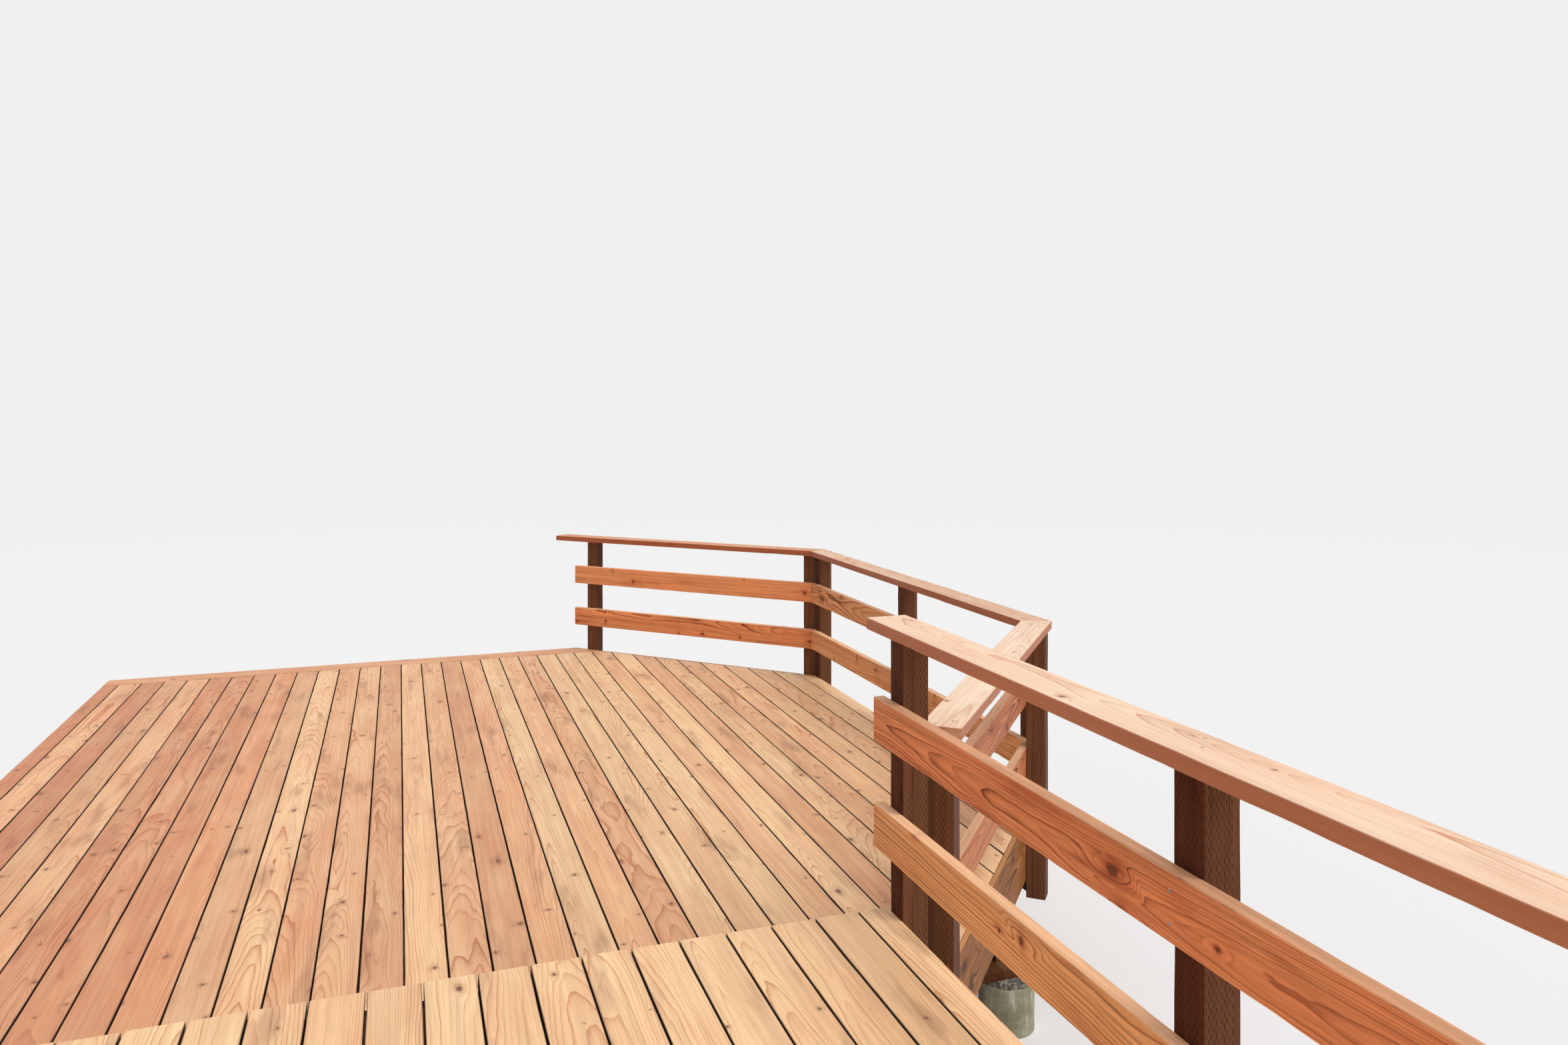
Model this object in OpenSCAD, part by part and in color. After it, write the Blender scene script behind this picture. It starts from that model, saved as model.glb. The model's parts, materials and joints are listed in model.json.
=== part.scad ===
// Timber deck on two levels, joined by a step, with post and rail guards on the open sides.
// X runs across the deck boards from the house side, Y runs along them, Z is up from the ground.
// Plan points are worked out from the house side (x = 0) and the upper deck's nosing (y = 0).

/* [Levels] */
// Height of the lower deck's surface above the ground
lower_h = 840; // [760:1:1400]
// Height of one riser, of which there are two between the decks
riser_h = 171; // [150:1:190]

/* [Upper deck] */
// Width from the house side to the open side
upper_w = 3437; // [2600:1:4300]
// Distance from the nosing to the middle of the first guard post
first_post_in = 70; // [50:1:200]
// Spacing of the guard posts
post_spacing = 1344; // [900:1:1800]
// Number of bays between guard posts
upper_bays = 3; // [1:1:5]
// Distance from the middle of the last guard post to the rear end
last_post_in = 48; // [46:1:200]
// Overhang of the boards past the riser
nosing = 25; // [15:1:35]

/* [Lower deck] */
// Length from the nosing of the upper deck to the far end
lower_l = 5850; // [4800:1:7200]
// Distance that the side reaches past the open side of the upper deck
side_reach = 1410; // [1100:1:2200]
// Distance from the upper deck to the start of the angled side near it
near_cut_x = 172; // [155:1:400]
// Length of the angled near side, along the boards
near_cut_y = 1411; // [1100:1:1900]
// Width of the angled far side, across the boards
far_cut_x = 1510; // [1100:1:2200]
// Length of the angled far side, along the boards
far_cut_y = 1540; // [1100:1:1900]
// Distance that the lower deck runs in under the upper one
under_lap = 35; // [30:1:60]

/* [Deck boards] */
// Width of a deck board
board_w = 140; // [120:1:150]
// Thickness of a deck board
board_t = 38; // [30:1:45]
// Gap between deck boards
board_gap = 5; // [3:1:8]
// Width of the lower board that is ripped along the house
first_rip = 95; // [30:1:120]
// Width of the board across the far end
border_w = 184; // [140:1:235]
// Gap where boards butt against a fascia
butt_gap = 2; // [1:1:4]
// Radius of the eased edges of the timber
ease_r = 3; // [1:0.5:5]

/* [Guards] */
// Width and depth of a guard post
post_w = 89; // [75:1:100]
// Thickness of a rail
rail_t = 38; // [30:1:45]
// Width of a rail, set on edge
rail_w = 140; // [115:1:160]
// Open height under each rail and under the cap
rail_gap = 199; // [150:1:210]
// Open height under the low rail of the upper guard
upper_rail_gap = 190; // [150:1:210]
// Width of the cap
cap_w = 140; // [130:1:190]
// Thickness of the cap
cap_t = 38; // [30:1:45]
// Drop of the far and side guards' posts below the lower deck
post_drop = 410; // [300:1:460]
// Drop of the near guard's posts below the lower deck
near_post_drop = 370; // [300:1:460]
// Drop of an upper guard post below its deck
upper_post_drop = 330; // [260:1:335]
// Distance that the upper cap runs past the nosing
upper_cap_out = 62; // [20:1:140]
// Distance that the upper rails run past the nosing
upper_rail_out = 20; // [0:1:60]
// Distance that the far guard's cap starts before its side
far_cap_out = 168; // [0:1:200]
// Distance from the far corner to the start of the far guard's rails
far_rail_in = 18; // [0:1:100]
// Distance from the far corner to the far guard's first post
far_post_in = 158; // [120:1:300]
// Distance from the side's far corner to the far guard's last post
far_last_post_in = 52; // [46:1:130]
// Distance from the side's near corner to the near guard's first post
near_post_in = 85; // [46:1:130]
// Distance from a corner to the posts of the straight side
side_post_in = 50; // [46:1:100]
// Open joint at a mitre
mitre_gap = 1.5; // [1:0.5:3]

/* [Frame] */
// Thickness of joists and rims
joist_t = 38; // [30:1:45]
// Depth of joists and rims
joist_d = 184; // [140:1:200]
// Thickness of the fascia boards on the angled sides
fascia_t = 19; // [15:1:38]
// Depth of the fascia boards
fascia_d = 286; // [235:1:300]
// Spacing of the joists
joist_spacing = 406; // [300:1:610]
// Width of a beam
beam_w = 89; // [75:1:100]
// Depth of a beam
beam_d = 140; // [120:1:150]
// Distance from the side of the lower deck to the first beam
beam_in = 294; // [280:1:450]
// Spacing of the beams
beam_spacing = 1380; // [1000:1:1600]
// Distance from a square end of a deck to its beams
beam_end_in = 200; // [150:1:400]
// Distance from the end of a beam to the middle of its stub post
stub_in = 45; // [45:1:300]

/* [Piers] */
// Diameter of a round pier
pier_dia = 254; // [200:1:300]
// Height of a pier above the ground
pier_h = 240; // [150:1:250]
// Distance that the end piers stand outside their stub posts
pier_out = 60; // [0:1:65]
// Thickness of the bearing blocks on a pier
pad_t = 38; // [25:1:45]
// Length of a bearing block
pad_l = 190; // [150:1:220]
// Width of a bearing block
pad_w = 140; // [110:1:150]
// Distance from the middle of a pier to the joint between its two blocks
pad_joint_in = 50; // [46:1:60]

/* [Hidden] */

// Facets in a quarter turn of an eased edge, and sides of a round pier
ease_steps = 2;
pier_fn = 64;
// Extra length of a stick or prism where another shape trims it
spare = 50;
// Narrowest board that is worth laying
least_rip = 20;
// Open joint between plain pieces that butt within one frame
dry_joint = 1;
// Clear distance from the lower deck's edges to the near ends of its beams
beam_clear = 3;

// Heights
upper_h = lower_h + 2 * riser_h;
tread_h = lower_h + riser_h;
lower_joist_z = lower_h - board_t - joist_d;
upper_joist_z = upper_h - board_t - joist_d;
step_frame_h = riser_h - board_t;
low_rail_z = rail_gap;
mid_rail_z = low_rail_z + rail_w + rail_gap;
cap_z = mid_rail_z + rail_w + rail_gap;
upper_low_rail_z = upper_h + upper_rail_gap;
upper_mid_rail_z = upper_low_rail_z + rail_w + rail_gap;

// Plan sizes
board_pitch = board_w + board_gap;
upper_l = first_post_in + upper_bays * post_spacing + last_post_in;
lower_w = upper_w + side_reach;
cap_over = (cap_w - rail_t - post_w) / 2;
riser_y = -nosing;
front_rim_y = riser_y - joist_t;
upper_frame_y = front_rim_y - joist_t;
tread_l = 2 * board_w + board_gap;
tread_front_y = riser_y + tread_l;

// Corners of the lower deck, from the near end round the open sides to the far end
near_start = [upper_w + near_cut_x, 0];
side_near = [lower_w, near_cut_y];
side_far = [lower_w, lower_l - far_cut_y];
far_start = [lower_w - far_cut_x, lower_l];
near_run = unit(near_start - side_near);
near_foot = near_start - near_run * under_lap / near_run.y;
outline = [[0, -under_lap], near_foot, side_near, side_far, far_start, [0, lower_l]];

// The guards follow the open sides from the far end to the near end
near_guard_end = near_start + near_run * post_w / 2;
guard_path = [far_start, side_far, side_near, near_guard_end];
upper_path = [[upper_w, 0], [upper_w, -upper_l]];

// Centre of the whole thing in plan, so that it stands on its own origin
far_cap_corner = far_start + (cap_over + post_w) * outward(guard_path, 0)
    - far_cap_out * run_dir(guard_path, 0);
mid_x = (lower_w + post_w + cap_over) / 2;
mid_y = (max(lower_l, far_cap_corner.y) - upper_l) / 2;

function unit(v) = v / norm(v);
function run_dir(path, k) = unit(path[k + 1] - path[k]);
// The outward side of a guard lies to the left of its run
function outward(path, k) = let (d = run_dir(path, k)) [-d.y, d.x];

// Point at distance a out from one side and b out from the next, given their outward normals
function meet(p, na, nb, a, b) =
    let (det = na.x * nb.y - na.y * nb.x)
    p + [a * nb.y - b * na.y, b * na.x - a * nb.x] / det;

// Outward normal of side k of a closed outline that runs anticlockwise
function side_normal(p, k) =
    let (d = unit(p[(k + 1) % len(p)] - p[k])) [d.y, -d.x];

// Outline moved in by its own distance on each side
function inset(p, d) =
    [for (k = [0 : len(p) - 1])
        let (j = (k + len(p) - 1) % len(p))
        meet(p[k], side_normal(p, j), side_normal(p, k), -d[j], -d[k])];

// Corner k of a guard, moved out by d: mitred between two runs, square at an end
function guard_corner(path, k, d, run_on) =
    k == 0 ? path[0] + d * outward(path, 0) - run_on * run_dir(path, 0)
    : k == len(path) - 1 ? path[k] + d * outward(path, k - 1) + run_on * run_dir(path, k - 1)
    : meet(path[k], outward(path, k - 1), outward(path, k), d, d);

// Height above the x axis, at x, of the line from p to q moved by d to its left
function line_y(p, q, d, x) =
    p.y + ((q.y - p.y) * (x - p.x) + d * norm(q - p)) / (q.x - p.x);
// Where the lower deck starts and ends inside its fascias, at a place across the boards
function near_edge(x) = max(-under_lap, line_y(near_start, side_near, fascia_t, x));
function far_edge(x) = min(lower_l, line_y(far_start, side_far, -fascia_t, x));

// Rectangle from [a, c] to [b, d] with eased corners
function eased(a, b, c, d, r = ease_r) =
    [for (q = [[b - r, d - r, 0], [a + r, d - r, 90], [a + r, c + r, 180], [b - r, c + r, 270]])
        for (i = [0 : ease_steps])
            [q[0] + r * cos(q[2] + 90 * i / ease_steps), q[1] + r * sin(q[2] + 90 * i / ease_steps)]];

// Frame lines, all measured from the same side
beam_xs = [for (x = lower_w - beam_in; x > beam_w; x = x - beam_spacing) x];
upper_beam_xs = [for (x = beam_xs) if (x < upper_w - post_w) x];
// Near and far end of each lower beam, with square ends inside the outline
lower_beam_ends = [for (x = beam_xs)
    [max(near_edge(x - beam_w / 2), near_edge(x + beam_w / 2)) + beam_clear,
     min(far_edge(x - beam_w / 2), far_edge(x + beam_w / 2)) - beam_end_in]];
upper_beam_ends = [-upper_l + beam_end_in, upper_frame_y - beam_w];
// Stub posts stand at both ends and the middle of a beam: [x, y, which end]
function stub_row(x, a, b) = [for (end = [-1, 0, 1]) [x, (a + b) / 2 + end * (b - a) / 2, end]];
lower_stubs = [for (i = [0 : len(beam_xs) - 1])
    each stub_row(beam_xs[i], lower_beam_ends[i][0] + stub_in, lower_beam_ends[i][1] - stub_in)];
upper_stubs = [for (x = upper_beam_xs)
    each stub_row(x, upper_beam_ends[0] + stub_in,
        upper_beam_ends[1] - stub_in - pier_out - pier_dia / 2)];

// Straight timber from p to q, from a to b out to its left and from c to d in height
module stick(p, q, a, b, c, d, r = ease_r) {
    run = q - p;
    translate([p.x, p.y, 0])
        rotate([0, 0, atan2(run.y, run.x)])
            rotate([90, 0, 90])
                linear_extrude(height = norm(run))
                    polygon(eased(a, b, c, d, r));
}

// Prism over a plan outline, used to trim what runs past it
module prism(points, c, d) {
    translate([0, 0, c])
        linear_extrude(height = d - c)
            polygon(points);
}

// Timber that runs across the boards, from x0 to x1
module cross_stick(x0, x1, y, t, c, d) {
    stick([x0, y], [x1, y], 0, t, c, d);
}

// Deck boards: each starts at left and is w wide, [left, w], and all are trimmed to area
module boards(lefts, y0, y1, top, area) {
    for (b = lefts)
        intersection() {
            stick([0, y1 + spare], [0, y0 - spare], b[0], b[0] + b[1], top - board_t, top);
            prism(area, top - board_t - 1, top + 1);
        }
}

// Whole boards laid side by side from one place to another, the last one ripped to fit
function board_row(from, to) = [for (left = [from : board_pitch : to - least_rip])
    [left, min(board_w, to - left)]];
// The lower deck also has a ripped board along the house
lower_lefts = concat([[0, first_rip]], board_row(first_rip + board_gap, lower_w));
upper_lefts = board_row(0, upper_w);

module lower_deck_boards() {
    cut = fascia_t + butt_gap;
    color("peru")
        boards(lower_lefts, -under_lap, lower_l, lower_h,
            inset(outline, [0, cut, 0, cut, border_w + board_gap, 0]));
}

module lower_border_board() {
    cut = fascia_t + butt_gap;
    color("sandybrown")
        intersection() {
            cross_stick(0, lower_w, lower_l - border_w, border_w, lower_h - board_t, lower_h);
            prism(inset(outline, [0, cut, 0, cut, 0, 0]), lower_h - board_t - 1, lower_h + 1);
        }
}

module upper_deck_boards() {
    color("burlywood")
        boards(upper_lefts, -upper_l, 0, upper_h,
            [[0, -upper_l], [upper_w, -upper_l], [upper_w, 0], [0, 0]]);
}

// The step's tread is two boards that run across, between the risers
module step_treads() {
    color("burlywood")
        for (i = [0, 1])
            cross_stick(0, upper_w, riser_y + i * board_pitch, board_w, tread_h - board_t, tread_h);
}

module step_upper_riser() {
    color("peru")
        cross_stick(0, upper_w, front_rim_y, joist_t, upper_joist_z, upper_joist_z + joist_d);
}

module step_lower_riser() {
    color("peru")
        cross_stick(0, upper_w, tread_front_y - nosing - joist_t, joist_t, lower_h, tread_h - board_t);
}

// Back board and cross blocks of the step, on the lower deck's surface
module step_frame() {
    back = riser_y + joist_t;
    front = tread_front_y - nosing - joist_t;
    count = ceil((upper_w - joist_t) / (2 * joist_spacing));
    color("tan") {
        cross_stick(0, upper_w, riser_y, joist_t, lower_h, lower_h + step_frame_h);
        for (i = [0 : count])
            let (x = i * (upper_w - joist_t) / count)
                stick([x, front], [x, back + dry_joint], 0, joist_t, lower_h, lower_h + step_frame_h);
    }
}

// Joists run across the boards and are trimmed to the frame's inner outline
module joists(y0, y1, z, area) {
    for (y = [y0 + joist_spacing : joist_spacing : y1 - 2 * joist_t])
        intersection() {
            stick([-spare, y], [lower_w + spare, y], -joist_t / 2, joist_t / 2, z, z + joist_d);
            prism(area, z - 1, z + joist_d + 1);
        }
}

module lower_joists() {
    behind = fascia_t + joist_t;
    color("tan")
        joists(-under_lap, lower_l, lower_joist_z,
            inset(outline, [joist_t, behind, joist_t, behind, joist_t, joist_t]));
}

// Board t thick on side k of the lower deck, set in from its edge and from c to d in height; its
// ends stop short of its neighbours' outer faces by start and end
module side_board(k, in, t, start, end, c, d) {
    count = len(outline);
    before = side_normal(outline, (k + count - 1) % count);
    own = side_normal(outline, k);
    after = side_normal(outline, (k + 1) % count);
    p = outline[k];
    q = outline[(k + 1) % count];
    prism([meet(p, before, own, -start, -in), meet(q, own, after, -in, -end),
           meet(q, own, after, -in - t, -end), meet(p, before, own, -start, -in - t)], c, d);
}

module lower_rim(k, in, start, end) {
    color("tan")
        side_board(k, in, joist_t, start, end, lower_joist_z, lower_joist_z + joist_d);
}

// The fascias cover the ends of the boards as well as the frame
module fascia(k) {
    color("peru")
        side_board(k, 0, fascia_t, 0, 0, lower_h - fascia_d, lower_h);
}

module near_side_rim() lower_rim(1, fascia_t, 0, 0);
module near_side_fascia() {
    stop = near_start - near_run * (post_w / 2 + dry_joint);
    difference() {
        fascia(1);
        color("peru")
            stick(stop, stop + near_run * 2 * post_w, -post_w, post_w,
                lower_h - fascia_d - 1, lower_h + 1);
    }
}
module far_side_rim() lower_rim(3, fascia_t, 0, 0);
module far_side_fascia() fascia(3);
module lower_near_rim() lower_rim(0, 0, 0, fascia_t + joist_t);
module lower_side_rim() lower_rim(2, 0, fascia_t + joist_t, fascia_t + joist_t);
module lower_far_rim() lower_rim(4, 0, fascia_t + joist_t, 0);
module lower_ledger() lower_rim(5, 0, joist_t, joist_t);

module upper_joists() {
    color("tan")
        joists(-upper_l, upper_frame_y, upper_joist_z,
            [[joist_t, -upper_l], [upper_w - joist_t, -upper_l],
             [upper_w - joist_t, 0], [joist_t, 0]]);
}

module upper_bar(x0, x1, y0, y1) {
    color("tan")
        translate([x0, y0, upper_joist_z])
            cube([x1 - x0, y1 - y0, joist_d]);
}

module upper_ledger() upper_bar(0, joist_t, -upper_l + joist_t, upper_frame_y);
module upper_side_rim() upper_bar(upper_w - joist_t, upper_w, -upper_l + joist_t, upper_frame_y);
module upper_front_rim() upper_bar(0, upper_w, upper_frame_y, front_rim_y);
module upper_rear_rim() upper_bar(0, upper_w, -upper_l, -upper_l + joist_t);

module beam(x, ends, top) {
    color("saddlebrown")
        stick([x, ends[1]], [x, ends[0]], -beam_w / 2, beam_w / 2, top - beam_d, top);
}

module lower_beams() {
    for (i = [0 : len(beam_xs) - 1])
        beam(beam_xs[i], lower_beam_ends[i], lower_joist_z);
}

module upper_beams() {
    for (x = upper_beam_xs)
        beam(x, upper_beam_ends, upper_joist_z);
}

// Square post with eased edges, centred on p and turned by angle
module post(p, angle, z0, z1) {
    h = post_w / 2;
    translate([p.x, p.y, z0])
        rotate([0, 0, angle])
            linear_extrude(height = z1 - z0)
                polygon(eased(-h, h, -h, h));
}

module stub_posts(stubs, top) {
    color("saddlebrown")
        for (p = stubs)
            post(p, 0, pier_h + pad_t, top);
}

// Two flat blocks side by side bridge from each pier to its stub post
module pier_blocks(stubs) {
    color("sienna")
        for (p = stubs, side = [-1, 1])
            translate([p.x - pad_joint_in + side * (pad_w + dry_joint) / 2 - pad_w / 2,
                       p.y + p.z * pier_out / 2 - pad_l / 2, pier_h])
                cube([pad_w, pad_l, pad_t]);
}

module piers(stubs) {
    color("lightgray")
        for (p = stubs)
            translate([p.x, p.y + p.z * pier_out, 0])
                cylinder(d = pier_dia, h = pier_h, $fn = pier_fn);
}

module lower_stub_posts() stub_posts(lower_stubs, lower_joist_z - beam_d);
module lower_pier_blocks() pier_blocks(lower_stubs);
module lower_piers() piers(lower_stubs);
module upper_stub_posts() stub_posts(upper_stubs, upper_joist_z - beam_d);
module upper_pier_blocks() pier_blocks(upper_stubs);
module upper_piers() piers(upper_stubs);

// Posts of run k of a guard, outside the deck's edge, at distances s along the run
module guard_posts(path, k, spots, foot, top, in = 0) {
    d = run_dir(path, k);
    color("saddlebrown")
        for (s = spots)
            post(path[k] + s * d + (post_w / 2 - in) * outward(path, k), atan2(d.y, d.x), foot, top);
}

// Rail or cap of run k, from a to b outward, mitred at corners; start and end run past the ends
module guard_bar(path, k, a, b, c, d, start, end) {
    run = run_dir(path, k);
    last = len(path) - 2;
    trim = mitre_gap / 2 * run;
    from = k == 0 ? [0, 0] : trim;
    to = k == last ? [0, 0] : -trim;
    wide = 2 * (b - a);
    p = path[k] - (spare + wide + start) * run;
    q = path[k + 1] + (spare + wide + end) * run;
    intersection() {
        stick(p, q, a, b, c, d);
        prism([guard_corner(path, k, a - 1, start) + from, guard_corner(path, k, b + 1, start) + from,
               guard_corner(path, k + 1, b + 1, end) + to, guard_corner(path, k + 1, a - 1, end) + to],
            c - 1, d + 1);
    }
}

module guard_rail(path, k, z, start, end) {
    color("chocolate")
        guard_bar(path, k, -rail_t, 0, z, z + rail_w, start, end);
}

module guard_cap(path, k, z, start, end) {
    color("sandybrown")
        guard_bar(path, k, -rail_t - cap_over, post_w + cap_over, z, z + cap_t, start, end);
}

module upper_guard_posts() {
    guard_posts(upper_path, 0, [for (i = [0 : upper_bays]) first_post_in + i * post_spacing],
        upper_h - upper_post_drop, upper_h + cap_z);
}
module upper_guard_low_rail() guard_rail(upper_path, 0, upper_low_rail_z, upper_rail_out, 0);
module upper_guard_mid_rail() guard_rail(upper_path, 0, upper_mid_rail_z, upper_rail_out, 0);
module upper_guard_cap() guard_cap(upper_path, 0, upper_h + cap_z, upper_cap_out, 0);

module lower_guard_posts(k, spots, drop, in = 0) {
    guard_posts(guard_path, k, spots, lower_h - drop, lower_h + cap_z, in);
}

module far_guard_posts() {
    length = norm(side_far - far_start);
    lower_guard_posts(0, [far_post_in, length - far_last_post_in], post_drop);
}
module far_guard_low_rail() guard_rail(guard_path, 0, lower_h + low_rail_z, -far_rail_in, 0);
module far_guard_mid_rail() guard_rail(guard_path, 0, lower_h + mid_rail_z, -far_rail_in, 0);
module far_guard_cap() guard_cap(guard_path, 0, lower_h + cap_z, far_cap_out, 0);

module side_guard_posts() {
    length = norm(side_near - side_far);
    lower_guard_posts(1, [side_post_in, length / 2, length - side_post_in], post_drop);
}
module side_guard_low_rail() guard_rail(guard_path, 1, lower_h + low_rail_z, 0, 0);
module side_guard_mid_rail() guard_rail(guard_path, 1, lower_h + mid_rail_z, 0, 0);
module side_guard_cap() guard_cap(guard_path, 1, lower_h + cap_z, 0, 0);

// The last post stands against the rim where the fascia stops, and both rails end at its face
module near_guard_posts() {
    length = norm(near_guard_end - side_near);
    lower_guard_posts(2, [near_post_in], near_post_drop);
    lower_guard_posts(2, [length - post_w / 2], near_post_drop, fascia_t);
}
module near_guard_low_rail() guard_rail(guard_path, 2, lower_h + low_rail_z, 0, -post_w);
module near_guard_mid_rail() guard_rail(guard_path, 2, lower_h + mid_rail_z, 0, -post_w);
module near_guard_cap() guard_cap(guard_path, 2, lower_h + cap_z, 0, 0);

translate([-mid_x, -mid_y, 0]) {
    lower_deck_boards();
    lower_border_board();
    upper_deck_boards();
    step_treads();
    step_upper_riser();
    step_lower_riser();
    step_frame();
    lower_joists();
    lower_ledger();
    lower_far_rim();
    lower_near_rim();
    lower_side_rim();
    far_side_rim();
    near_side_rim();
    far_side_fascia();
    near_side_fascia();
    lower_beams();
    lower_stub_posts();
    lower_pier_blocks();
    lower_piers();
    upper_joists();
    upper_ledger();
    upper_front_rim();
    upper_rear_rim();
    upper_side_rim();
    upper_beams();
    upper_stub_posts();
    upper_pier_blocks();
    upper_piers();
    upper_guard_posts();
    upper_guard_low_rail();
    upper_guard_mid_rail();
    upper_guard_cap();
    far_guard_posts();
    far_guard_low_rail();
    far_guard_mid_rail();
    far_guard_cap();
    side_guard_posts();
    side_guard_low_rail();
    side_guard_mid_rail();
    side_guard_cap();
    near_guard_posts();
    near_guard_low_rail();
    near_guard_mid_rail();
    near_guard_cap();
}
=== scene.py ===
"""Looks of a timber deck on two levels, with its guards, frame and piers.

Every piece of wood is cut from the frame's own solids and keeps its place. Each board gets its own
grain, measured along, across and through it from the heart of its log, so that the growth rings run
through the face, the edges and the ends alike. Lengths are in metres.
"""
import json
import math
import random
from functools import cache
from types import SimpleNamespace

import bmesh
import bpy
from bpy.props import FloatProperty, FloatVectorProperty, IntProperty, PointerProperty
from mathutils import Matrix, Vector, noise


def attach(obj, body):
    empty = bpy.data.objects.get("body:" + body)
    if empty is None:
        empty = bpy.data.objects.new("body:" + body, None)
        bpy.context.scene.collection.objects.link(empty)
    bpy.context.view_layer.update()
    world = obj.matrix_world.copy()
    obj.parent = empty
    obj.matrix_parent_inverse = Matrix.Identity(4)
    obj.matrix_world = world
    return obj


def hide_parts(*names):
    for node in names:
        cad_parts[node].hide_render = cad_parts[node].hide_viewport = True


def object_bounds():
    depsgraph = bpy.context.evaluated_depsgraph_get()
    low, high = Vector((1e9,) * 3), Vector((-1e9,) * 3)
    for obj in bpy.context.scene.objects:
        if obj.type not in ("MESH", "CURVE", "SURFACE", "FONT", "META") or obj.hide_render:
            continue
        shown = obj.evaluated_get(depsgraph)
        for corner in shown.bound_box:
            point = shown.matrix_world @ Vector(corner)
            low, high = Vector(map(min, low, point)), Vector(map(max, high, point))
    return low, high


bl_info = {
    "name": "Two-level timber deck",
    "version": (1, 0, 0),
    "blender": (4, 5, 0),
    "location": "3D View > Sidebar > Deck",
    "description": "Finishes the wood, screws and piers of a timber deck",
    "category": "Object",
}

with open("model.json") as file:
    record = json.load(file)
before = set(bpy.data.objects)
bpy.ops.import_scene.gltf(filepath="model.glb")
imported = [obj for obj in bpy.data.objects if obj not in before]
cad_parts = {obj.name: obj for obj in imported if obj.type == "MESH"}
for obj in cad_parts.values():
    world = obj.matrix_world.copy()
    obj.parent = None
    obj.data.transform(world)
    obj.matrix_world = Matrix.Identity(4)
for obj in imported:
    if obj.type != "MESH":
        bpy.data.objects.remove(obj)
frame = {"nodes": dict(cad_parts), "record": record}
CAD_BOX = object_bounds()
SLOTS = {part["node"]: part["material_slot"] for part in frame["record"]["subparts"]}


def shade(*levels):
    """Linear colour of a shade given in 0 to 255."""
    shares = [level / 255 for level in levels]
    return tuple(c / 12.92 if c <= 0.04045 else ((c + 0.055) / 1.055) ** 2.4 for c in shares)


def colour_prop(name, description, *levels):
    return FloatVectorProperty(name=name, description=description, subtype="COLOR", size=3,
                               min=0, max=1, default=shade(*levels))


def length_prop(name, description, default):
    return FloatProperty(name=name, description=description, default=default, min=0,
                         subtype="DISTANCE", unit="LENGTH", precision=4)


class DeckTimber(bpy.types.PropertyGroup):
    """How the pieces of wood are sawn and worn."""
    cut_length: length_prop("Cut length", "Distance between rings of points", 0.12)
    wear: length_prop("Edge wear", "Deepest wear of an edge", 0.0022)
    bow: length_prop("Bow", "How far a long board strays from straight", 0.0009)
    end_stagger: length_prop("End stagger", "How unevenly the nosing ends are cut", 0.004)
    seed: IntProperty(name="Seed", description="Choice of the logs", default=11)


class DeckColours(bpy.types.PropertyGroup):
    """Shades of the finishes."""
    deck_pale: colour_prop("Deck, pale", "Deck boards with the least red", 248, 208, 160)
    deck_warm: colour_prop("Deck, red", "Deck boards with the most red", 218, 146, 104)
    cap_pale: colour_prop("Cap", "Flat caps of the guards", 248, 220, 192)
    cap_warm: colour_prop("Cap, red", "Redder parts of the caps", 226, 156, 114)
    rail_pale: colour_prop("Rail, yellow", "Rails with the least red", 232, 168, 114)
    rail_warm: colour_prop("Rail, red", "Rails with the most red", 232, 144, 96)
    fascia_pale: colour_prop("Fascia", "Fascia boards", 166, 108, 56)
    fascia_warm: colour_prop("Fascia, red", "Redder parts of the fascias", 118, 64, 30)
    post_pale: colour_prop("Post, pale", "Treated posts, worn parts", 110, 71, 50)
    post_warm: colour_prop("Post, dark", "Treated posts, dark parts", 90, 43, 24)
    frame_pale: colour_prop("Frame", "Joists and rims", 186, 136, 90)
    frame_warm: colour_prop("Frame, red", "Redder parts of the frame", 158, 100, 60)
    treated_pale: colour_prop("Treated", "Beams, stub posts and blocks", 124, 88, 60)
    treated_warm: colour_prop("Treated, dark", "Dark parts of the beams", 98, 62, 38)
    concrete: colour_prop("Concrete", "Round piers", 168, 164, 140)
    stone: colour_prop("Stone", "Stones in the broken rims", 170, 168, 160)
    screw: colour_prop("Screw", "Heads of the screws", 206, 200, 190)


class DeckScrews(bpy.types.PropertyGroup):
    """Screws that hold the rails and caps."""
    head: length_prop("Head", "Diameter of a screw's head", 0.009)
    stand: length_prop("Stand", "How far a head stands proud", 0.0005)
    socket: length_prop("Socket", "Depth of the star-shaped socket", 0.002)
    apart: length_prop("Apart", "Height between a rail's two screws", 0.066)
    cap_apart: length_prop("Apart on a cap", "Distance between a cap's screws, each way", 0.046)
    end_in: length_prop("End distance", "Least distance to a board's end", 0.022)
    shift: length_prop("Shift", "Distance from a post's middle", 0.009)
    seed: IntProperty(name="Seed", description="Turn of the screw heads", default=4)


class DeckStones(bpy.types.PropertyGroup):
    """Stones that show where the rim of a pier has broken away."""
    density: FloatProperty(name="Density", description="Stones on a square metre",
                           default=5600, min=0)
    size: length_prop("Size", "Middle size of a stone", 0.0065)
    seed: IntProperty(name="Seed", description="Choice of the places", default=7)


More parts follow.
